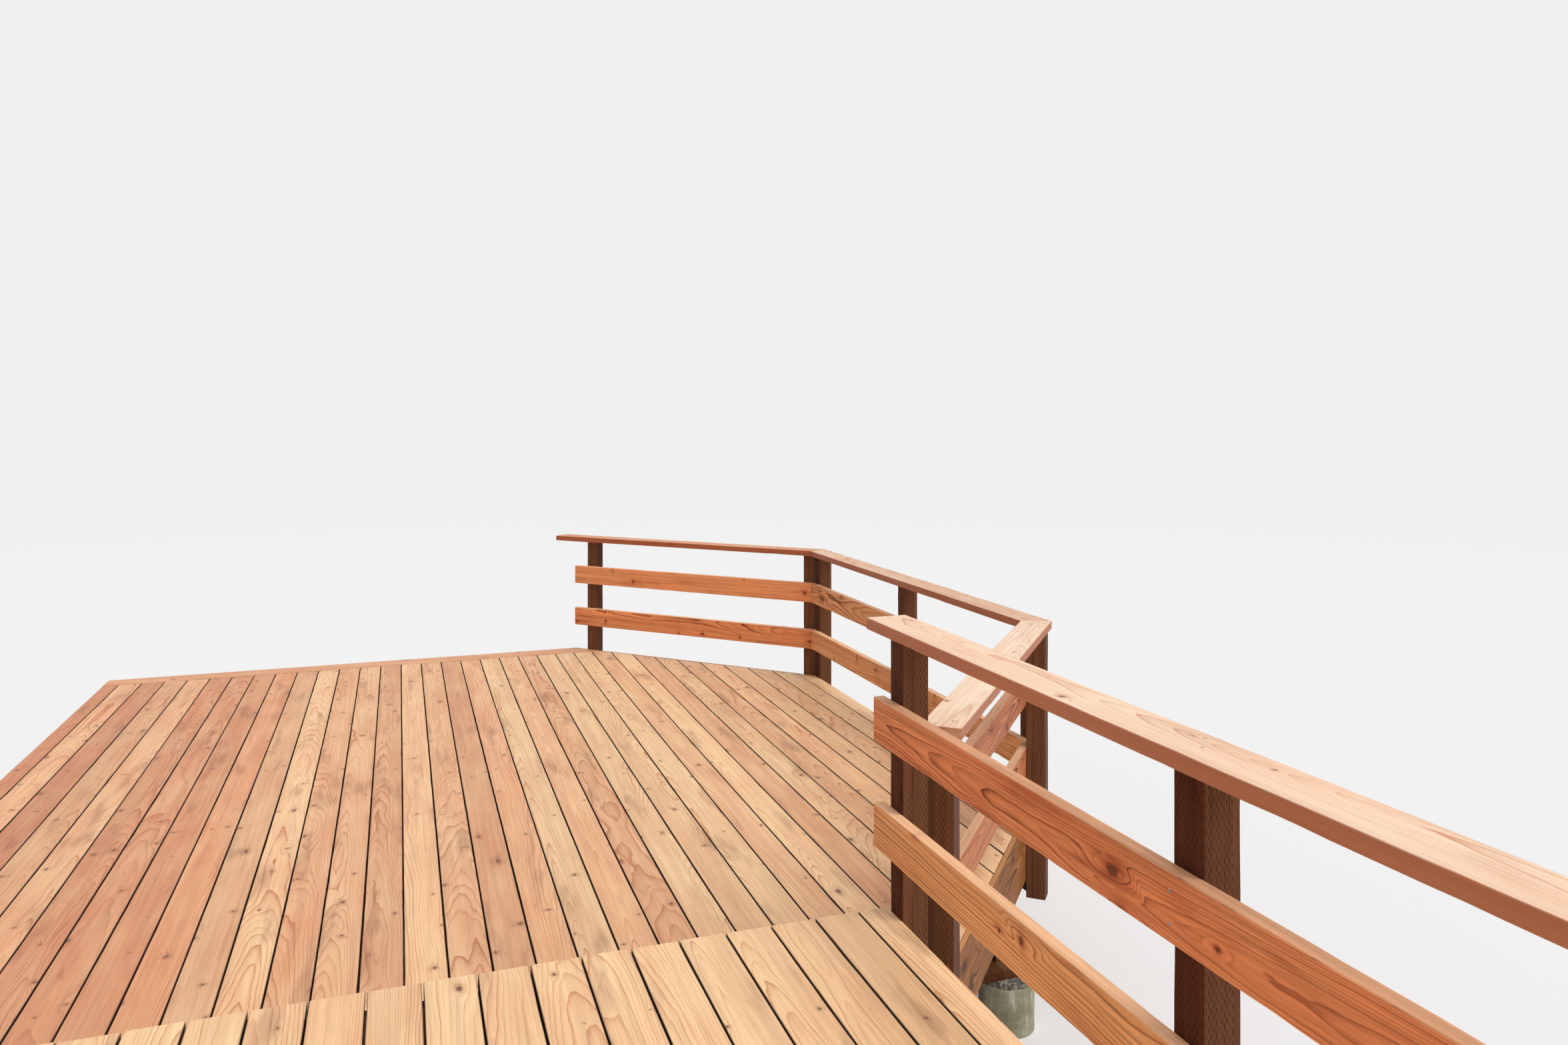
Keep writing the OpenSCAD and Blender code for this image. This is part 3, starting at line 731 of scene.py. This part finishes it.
class Board:
    """A solid as it is sawn: its log, its tone and how far its end and its face stray."""

    def __init__(self, node, number, solid, tone, stagger):
        self.timber = bpy.context.scene.deck_timber
        rng = random.Random(f"{node} {number} {self.timber.seed}")
        self.solid, self.number = solid, number
        self.heart_v, self.heart_w, self.ring = saw(node, solid, rng)
        self.offset = rng.uniform(0, 40)
        self.tone = (*tone(solid, rng), rng.random())
        self.push = rng.uniform(-stagger, 0)
        self.lift = rng.uniform(-0.5, 0.5) * self.timber.bow

    def worn(self, u, v, w):
        """Where a point of the board lies once the edges are worn and the board has bowed."""
        spot = Vector((u * WEAR_ALONG, v * WEAR_ACROSS, w * WEAR_ACROSS))
        spot += Vector((self.offset, 0, self.number))
        pull = self.timber.wear * max(0.0, noise.noise(spot) - WEAR_START)
        slow = Vector((u * BOW_ALONG, self.offset, self.number * BOARD_STEP))
        v += noise.noise(slow) * self.timber.bow - math.copysign(pull, v)
        w += noise.noise(slow + OTHER_WAY) * self.timber.bow + self.lift - math.copysign(pull, w)
        return self.solid.world((u + self.push * max(0.0, min(1.0, u / (self.solid.size[0] / 2))), v, w))

    def marks(self, face, outside):
        """Whether a face is an end, how far it is a hidden side, and its corners' places on it."""
        solid = self.solid
        end = abs(face.normal.dot(solid.along)) > 0.5
        middle = face.calc_center_median().x
        hidden = all(abs(middle - edge) > EDGE_NEAR for edge in outside)
        # Faces across the board, but for those on the deck's outer edge, take the light and shade that the
        # finish paints on sides
        side = abs(face.normal.dot(solid.across)) if hidden else 0.0
        first = solid.across if end else solid.along
        second = solid.through if end else face.normal.cross(solid.along)
        corners = [vert.co - solid.centre for vert in face.verts]
        return float(end), side, [d.dot(way) for d in corners for way in (first, second)]


def mark(data, name, domain, values, kind="FLOAT"):
    """Stores values on the points or faces of a mesh."""
    store = data.attributes.new(name, kind, domain).data
    store.foreach_set("vector" if kind == "FLOAT_VECTOR" else "value", values)


def mesh_piece(name, points, faces, round_to=55):
    """Mesh object at the origin, with its smooth parts shaded smooth."""
    data = bpy.data.meshes.new(name)
    data.from_pydata(points, [], faces)
    data.validate()
    data.shade_smooth()
    data.set_sharp_from_angle(angle=math.radians(round_to))
    piece = add_object(name, data)
    even = piece.modifiers.new("Flat sides", "WEIGHTED_NORMAL")
    even.keep_sharp = True
    even.weight = 90
    return piece


def timber_piece(node, tone, stagger=0.0, cut=None, boards=False):
    """Makes the wood of a node: tone gives each solid its warmth and darkness.

    The long sides of boards lie in the gaps between them, where their finish paints shade, but for the two
    on the outside.
    """
    reach = [corner[0] for corner in frame["nodes"][node].bound_box]
    outside = (min(reach), max(reach)) if boards else ()
    points, faces, grain, tones, rings, ends, sides, uvs = ([] for _ in range(8))
    for number, solid in enumerate(solids_of(node)):
        board = Board(node, number, solid, tone, stagger)
        solid.cut(cut or board.timber.cut_length)
        base = len(points)
        for vert in solid.bm.verts:
            u, v, w = solid.local(vert.co)
            points.append(board.worn(u, v, w))
            grain.extend((u + board.offset, v - board.heart_v, w - board.heart_w))
            tones.extend(board.tone)
            rings.append(board.ring)
        solid.bm.verts.index_update()
        for face in solid.bm.faces:
            faces.append([base + vert.index for vert in face.verts])
            end, side, places = board.marks(face, outside)
            ends.append(end)
            sides.append(side)
            uvs.extend(places)
    piece = mesh_piece(node + "_wood", points, faces)
    data = piece.data
    mark(data, "grain", "POINT", grain, "FLOAT_VECTOR")
    mark(data, "tone", "POINT", tones, "FLOAT_VECTOR")
    mark(data, "ring", "POINT", rings)
    mark(data, "end_grain", "FACE", ends)
    mark(data, "side", "FACE", sides)
    data.uv_layers.new(name="face").data.foreach_set("uv", uvs)
    slot = SLOTS[node]
    data.materials.append(timber_material(slot))
    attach(piece, "root")
    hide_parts(node)


def share_out(solid):
    """How far a solid lies from the house side, 0, to the open side, 1."""
    low, high = CAD_BOX
    return (solid.centre.x - low.x) / (high.x - low.x)


def deck_tone(solid, rng):
    """Boards run from red by the house to yellow by the open side, with some dark ones."""
    warmth = 0.75 - 0.6 * share_out(solid) + rng.uniform(-0.28, 0.28)
    return warmth, rng.uniform(0, 0.25) + (0.3 if rng.random() < 0.1 else 0)


def upper_tone(solid, rng):
    """The upper deck's boards are painted paler and yellower towards its open side, painted light that lifts
    the guards' soft shade there.
    """
    pale_share = max(0.0, share_out(solid) - 0.5)
    return rng.uniform(0.0, 0.3) - 1.6 * pale_share, rng.uniform(0, 0.12) - 1.4 * pale_share


def plain_tone(warmth, dark):
    """Tone function for boards that are much alike."""
    return lambda solid, rng: (warmth + rng.uniform(-0.08, 0.08), dark + rng.uniform(-0.04, 0.04))


def mixed_tone(solid, rng):
    """Boards of any tone, for posts and frame."""
    return rng.uniform(0.2, 0.9), rng.uniform(0, 0.4)


class DECK_OT_boards(bpy.types.Operator):
    """Lay the boards of both decks, the border and the treads"""
    bl_idname = "deck.boards"
    bl_label = "Deck boards"

    def execute(self, context):
        timber_piece("lower_deck_boards", deck_tone, boards=True)
        timber_piece("lower_border_board", plain_tone(0.7, 0.1))
        timber_piece("upper_deck_boards", upper_tone, context.scene.deck_timber.end_stagger, boards=True)
        for node in ("step_treads", "step_upper_riser", "step_lower_riser"):
            timber_piece(node, upper_tone)
        return {"FINISHED"}


# Warmth and darkness of each guard's low rail, mid rail and cap
GUARD_TONES = {"upper": ((0.0, -0.22), (0.95, 0.0), (0.12, 0.0)),
               "far": ((0.85, -0.15), (0.6, -0.35), (0.95, 0.25)),
               "side": ((0.1, 0.05), (0.15, 0.05), (0.35, 0.3)),
               # The near guard's rails are darker and redder, painted shade under their cap
               "near": ((0.9, 0.6), (0.95, 0.7), (0.05, 0.0))}
BARS = ("low_rail", "mid_rail", "cap")
# Distance between rings of points, for each group of pieces
RAIL_CUT = 0.06
POST_CUT = 0.08
FRAME_CUT = 0.3


class DECK_OT_rails(bpy.types.Operator):
    """Fix the rails and the flat caps of the guards"""
    bl_idname = "deck.rails"
    bl_label = "Rails and caps"

    def execute(self, context):
        for guard, tones in GUARD_TONES.items():
            for bar, tone in zip(BARS, tones):
                timber_piece(f"{guard}_guard_{bar}", plain_tone(*tone), cut=RAIL_CUT)
        return {"FINISHED"}


class DECK_OT_posts(bpy.types.Operator):
    """Stand the incised guard posts"""
    bl_idname = "deck.posts"
    bl_label = "Guard posts"

    def execute(self, context):
        for guard in GUARD_TONES:
            timber_piece(guard + "_guard_posts", mixed_tone, cut=POST_CUT)
        return {"FINISHED"}


class DECK_OT_fascias(bpy.types.Operator):
    """Fix the fascia boards of the angled sides"""
    bl_idname = "deck.fascias"
    bl_label = "Fascias"

    def execute(self, context):
        for node in ("near_side_fascia", "far_side_fascia"):
            timber_piece(node, plain_tone(0.4, 0.1), cut=RAIL_CUT)
        return {"FINISHED"}


def plain_material(name, colour, roughness, metallic=0.0):
    """A finish of one colour with dull specks."""
    material, n, shader = new_material(name)
    speck = n.noise(n.place(), 300.0)
    dull = tuple(0.45 * c for c in colour)
    n.fit(shader, {"Base Color": n.mix(n.step(speck, 0.35, 0.65), dull, colour),
                   "Roughness": roughness, "Metallic": metallic})
    return material


# A post holds a flat or an upright board whose middle is nearer to it than this
NEAR_FLAT = 0.1
NEAR_UPRIGHT = 0.2


def screw_spots(node, posts, screws):
    """Places and directions of a rail's or cap's screws: two at every post, aslant on a cap."""
    spots = []
    for solid in solids_of(node):
        flat = abs(solid.through.z) > 0.5
        apart, slant = (screws.cap_apart, screws.cap_apart) if flat else (screws.apart, 0.0)
        half = solid.size[0] / 2
        limit = half - screws.end_in
        for post in posts:
            u, v, w = solid.local(post.centre)
            u += screws.shift
            near = abs(v) < NEAR_FLAT if flat else abs(w) < NEAR_UPRIGHT
            if abs(u) > half + post.size[1] or not near:
                continue
            u = max(-limit, min(limit, u))
            middle = v if flat else 0.0
            out = -solid.through if w > 0 and not flat else solid.through
            for side in (-1, 1):
                place = solid.world((u - side * slant / 2, middle + side * apart / 2, 0))
                spots.append((place + out * solid.size[2] / 2, out))
    return spots


class DECK_OT_screws(bpy.types.Operator):
    """Drive the screws of the rails and caps"""
    bl_idname = "deck.screws"
    bl_label = "Screws"

    def execute(self, context):
        screws = context.scene.deck_screws
        finish = plain_material("screw_finish", context.scene.deck_colours.screw, 0.45, 0.5)
        tree = screw_nodes()
        for guard in GUARD_TONES:
            posts, spots = solids_of(guard + "_guard_posts"), []
            for bar in BARS:
                spots += screw_spots(f"{guard}_guard_{bar}", posts, screws)
            data = bpy.data.meshes.new(guard + "_guard_screws")
            data.from_pydata([place for place, _ in spots], [], [])
            mark(data, "facing", "POINT", [c for _, out in spots for c in out], "FLOAT_VECTOR")
            piece = add_object(data.name, data)
            apply_nodes(piece, tree, screws, finish)
            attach(piece, "root")
        return {"FINISHED"}


class DECK_OT_frame(bpy.types.Operator):
    """Set the joists, rims, beams, stub posts and bearing blocks"""
    bl_idname = "deck.frame"
    bl_label = "Frame"

    def execute(self, context):
        for node, slot in SLOTS.items():
            if slot in ("frame_wood", "treated_wood"):
                timber_piece(node, mixed_tone, cut=FRAME_CUT)
        return {"FINISHED"}


def concrete_material(skin):
    """Formed concrete: cement skin, pits with painted shade in them, stains and a pale broken rim."""
    material, n, shader = new_material("concrete")
    place = n.place()
    cloud = n.noise(place, 7.0, 4.0, 0.6)
    drawn = n.wire("ShaderNodeVectorMath", {0: place, 1: (34.0, 34.0, 7.0)}, operation="MULTIPLY")
    runs = n.noise(drawn, 1.0, 4.0, 0.65)
    spots = n.noise(place, 60.0, 3.0, 0.6)
    sand = n.noise(place, 420.0, 2.0, 0.6)
    # Pits: small hollows, lowered in the relief and darkened with painted shade
    pit = n.fall(n.wire("ShaderNodeTexVoronoi", {"Vector": place, "Scale": 55.0}, "Distance"), 0.06, 0.14)
    colour = n.mix(n.step(cloud, 0.35, 0.68), n.tint(skin, shade(196, 196, 180)), skin)
    for share, strength, stain in ((n.step(spots, 0.55, 0.75), 0.5, shade(176, 176, 160)),
                                   (n.step(runs, 0.54, 0.72), 0.6, shade(204, 204, 186)),
                                   (n.fall(runs, 0.3, 0.44), 0.5, shade(112, 108, 84)),
                                   (pit, 0.7, shade(60, 56, 44))):
        colour = n.mix(share * strength, colour, stain)
    broken = n.mix(n.step(spots, 0.4, 0.62), shade(66, 58, 46), shade(142, 136, 122))
    colour = n.mix(n.attribute("rim") * n.step(cloud, 0.2, 0.36), colour, broken)
    height = spots * 0.6 + sand * 0.25 - pit * 0.9
    dress(n, shader, colour, spots * 0.15 + 0.78, height, 0.0015)
    return material


# Points round a pier, steps up its plain side and rings across its rough top
PIER_SIDES = 96
PIER_STEPS = 16
TOP_RINGS = 6
TURNS = [2 * math.pi * i / PIER_SIDES for i in range(PIER_SIDES)]
AROUND = [Vector((math.cos(turn), math.sin(turn), 0)) for turn in TURNS]
# How far the side lies inside the CAD's cylinder and how uneven it is
SIDE_IN = 0.0025
SIDE_UNEVEN = 0.002
# Depth of the broken rim, and its rings as shares of it below the top
BROKEN_RIM = 0.024
BROKEN_SHARES = (0.8, 0.6, 0.4, 0.2, 0.0)
# What has gone there: an even layer, lumps and the top ring's corner; the lumps' turns to the metre
RIM_LOSS = 0.002
RIM_LUMPS = 0.006
RIM_CORNER = 0.008
LUMP_TURNS = 55
# How far the top lies below the CAD's and how rough it is, what its rings leave free at the side, and
# the least ring's radius
TOP_DROP = 0.002
TOP_ROUGH = 0.003
TOP_IN = 0.016
LEAST_RING = 0.004


def side_points(centre, radius, top, seed):
    """Points up a pier's slightly uneven side and over its broken rim, ring by ring."""
    points = []
    heights = [(top - BROKEN_RIM) * j / PIER_STEPS for j in range(PIER_STEPS + 1)]
    heights += [top - BROKEN_RIM * share for share in BROKEN_SHARES]
    for j, z in enumerate(heights):
        broken, last = j > PIER_STEPS, j == len(heights) - 1
        for d in AROUND:
            r = radius - SIDE_IN + SIDE_UNEVEN * noise.noise(d * 4 + Vector((0, z * 8, seed)))
            if broken:
                spot = d * radius * LUMP_TURNS + Vector((seed, 0, z * LUMP_TURNS))
                r -= RIM_LOSS + RIM_LUMPS * max(0.0, noise.noise(spot) + 0.35) + RIM_CORNER * last
            points.append(Vector((centre.x, centre.y, z - TOP_DROP * broken)) + d * r)
    return points


def top_points(centre, radius, top, seed):
    """Points over a pier's rough top, ring by ring inwards."""
    points = []
    for k in range(1, TOP_RINGS + 1):
        for d in AROUND:
            spot = d * ((radius - TOP_IN) * (1 - k / TOP_RINGS) + LEAST_RING * (k == TOP_RINGS))
            z = top - TOP_DROP - TOP_ROUGH * abs(noise.noise(spot * 40 + Vector((seed, 0, 0))))
            points.append(Vector((centre.x, centre.y, z)) + spot)
    return points


def cast_pier(solid, seed, points, faces, rims):
    """Adds a cast pier to the points and faces, and marks the rough faces."""
    low, high = [Vector(pick(v.co[k] for v in solid.bm.verts) for k in range(3)) for pick in (min, max)]
    base, shape = len(points), ((low + high) / 2, (high.x - low.x) / 2, high.z, seed)
    points += side_points(*shape) + top_points(*shape)
    bands = (len(points) - base) // PIER_SIDES - 1
    for j in range(bands):
        for i in range(PIER_SIDES):
            k = (i + 1) % PIER_SIDES
            a, b = base + j * PIER_SIDES, base + (j + 1) * PIER_SIDES
            faces.append((a + i, a + k, b + k, b + i))
            rims.append(float(j >= PIER_STEPS))
    faces.append([base + bands * PIER_SIDES + i for i in range(PIER_SIDES)])
    faces.append([base + i for i in reversed(range(PIER_SIDES))])
    rims.extend((1.0, 0.0))


# Step through the noise from one pier to the next
PIER_SEED = 3.1


class DECK_OT_piers(bpy.types.Operator):
    """Cast the round concrete piers"""
    bl_idname = "deck.piers"
    bl_label = "Piers"

    def execute(self, context):
        colours, settings = context.scene.deck_colours, context.scene.deck_stones
        material, tree = concrete_material(colours.concrete), stone_nodes()
        finish = plain_material("stone_finish", colours.stone, 0.8)
        for node in ("lower_piers", "upper_piers"):
            points, faces, rims = [], [], []
            for i, solid in enumerate(solids_of(node)):
                cast_pier(solid, PIER_SEED * i, points, faces, rims)
            piece = mesh_piece(node + "_cast", points, faces, 60)
            mark(piece.data, "rim", "FACE", rims)
            piece.data.materials.append(material)
            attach(piece, "root")
            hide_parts(node)
            stones = add_object(node + "_stones", piece.data.copy())
            apply_nodes(stones, tree, settings, finish)
            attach(stones, "root")
        return {"FINISHED"}


# Half the floor's width, and the distances at which it starts to fade and has gone
FLOOR_REACH = 60
FLOOR_CLEAR = 7.0
FLOOR_GONE = 32.0
FLOOR_GREY = (0.82, 0.82, 0.82)
LAMP_SIZE = math.radians(50)
LAMP_TURN = (math.radians(28), math.radians(20), 0)


def set_camera(scene, view):
    """The photo's viewpoint."""
    camera = add_object("camera", bpy.data.cameras.new("camera"))
    camera.data.sensor_width = 36
    camera.data.lens = view.lens
    camera.data.shift_y = -view.drop
    camera.data.clip_end = 500
    camera.location = view.eye
    camera.rotation_euler = (math.radians(90), 0, -view.turn)
    scene.camera = camera


def set_light(scene, view):
    """A soft lamp from above and even light all round, with a backdrop of its own brightness."""
    lamp = add_object("soft_lamp", bpy.data.lights.new("soft_lamp", "SUN"))
    lamp.data.energy = view.sun
    lamp.data.angle = LAMP_SIZE
    lamp.rotation_euler = LAMP_TURN
    world = bpy.data.worlds.new("studio")
    world.use_nodes = True
    n = Nodes(world.node_tree)
    path = n.add("ShaderNodeLightPath").outputs
    seen = n.math("MAXIMUM", path["Is Glossy Ray"], path["Is Transmission Ray"])
    seen = n.math("MAXIMUM", path["Is Camera Ray"], seen)
    n.fit(world.node_tree.nodes["Background"], {
        "Color": (1, 1, 1), "Strength": seen * (view.backdrop - view.sky) + view.sky})
    scene.world = world


def set_floor():
    """A pale floor that melts into the backdrop far from the deck."""
    data = bpy.data.meshes.new("floor")
    r = FLOOR_REACH
    data.from_pydata([(-r, -r, 0), (r, -r, 0), (r, r, 0), (-r, r, 0)], [], [(0, 1, 2, 3)])
    paint, n, shader = new_material("floor_paint")
    n.fit(shader, {"Base Color": FLOOR_GREY, "Roughness": 0.9})
    share = n.step(n.length(n.place()), FLOOR_CLEAR, FLOOR_GONE)
    clear = n.wire("ShaderNodeBsdfTransparent")
    both = n.wire("ShaderNodeMixShader", {0: share, 1: shader.outputs[0], 2: clear})
    n.fit(paint.node_tree.nodes["Material Output"], {"Surface": both})
    data.materials.append(paint)
    floor = add_object("floor", data)


class DECK_OT_stage(bpy.types.Operator):
    """Set the camera, the light and the pale floor"""
    bl_idname = "deck.stage"
    bl_label = "Stage"

    def execute(self, context):
        scene = context.scene
        set_camera(scene, scene.deck_view)
        set_light(scene, scene.deck_view)
        set_floor()
        scene.view_settings.view_transform = "Standard"
        return {"FINISHED"}


OPERATORS = (DECK_OT_boards, DECK_OT_rails, DECK_OT_posts, DECK_OT_fascias, DECK_OT_screws,
             DECK_OT_frame, DECK_OT_piers, DECK_OT_stage)


class DECK_PT_panel(bpy.types.Panel):
    """Sizes, colours and steps of the deck"""
    bl_idname = "DECK_PT_panel"
    bl_label = "Timber deck"
    bl_space_type = "VIEW_3D"
    bl_region_type = "UI"
    bl_category = "Deck"

    def draw(self, context):
        for group in GROUPS:
            box = self.layout.box()
            settings = getattr(context.scene, group)
            for name in settings.__annotations__:
                box.prop(settings, name)
        for operator in OPERATORS:
            self.layout.operator(operator.bl_idname)


CLASSES = (*GROUPS.values(), *OPERATORS, DECK_PT_panel)


def register():
    for cls in CLASSES:
        bpy.utils.register_class(cls)
    for name, cls in GROUPS.items():
        setattr(bpy.types.Scene, name, PointerProperty(type=cls))


def unregister():
    for name in GROUPS:
        delattr(bpy.types.Scene, name)
    for cls in reversed(CLASSES):
        bpy.utils.unregister_class(cls)


def main():
    register()
    for operator in OPERATORS:
        getattr(bpy.ops.deck, operator.bl_idname.split(".")[1])()


if __name__ == "__main__":
    main()
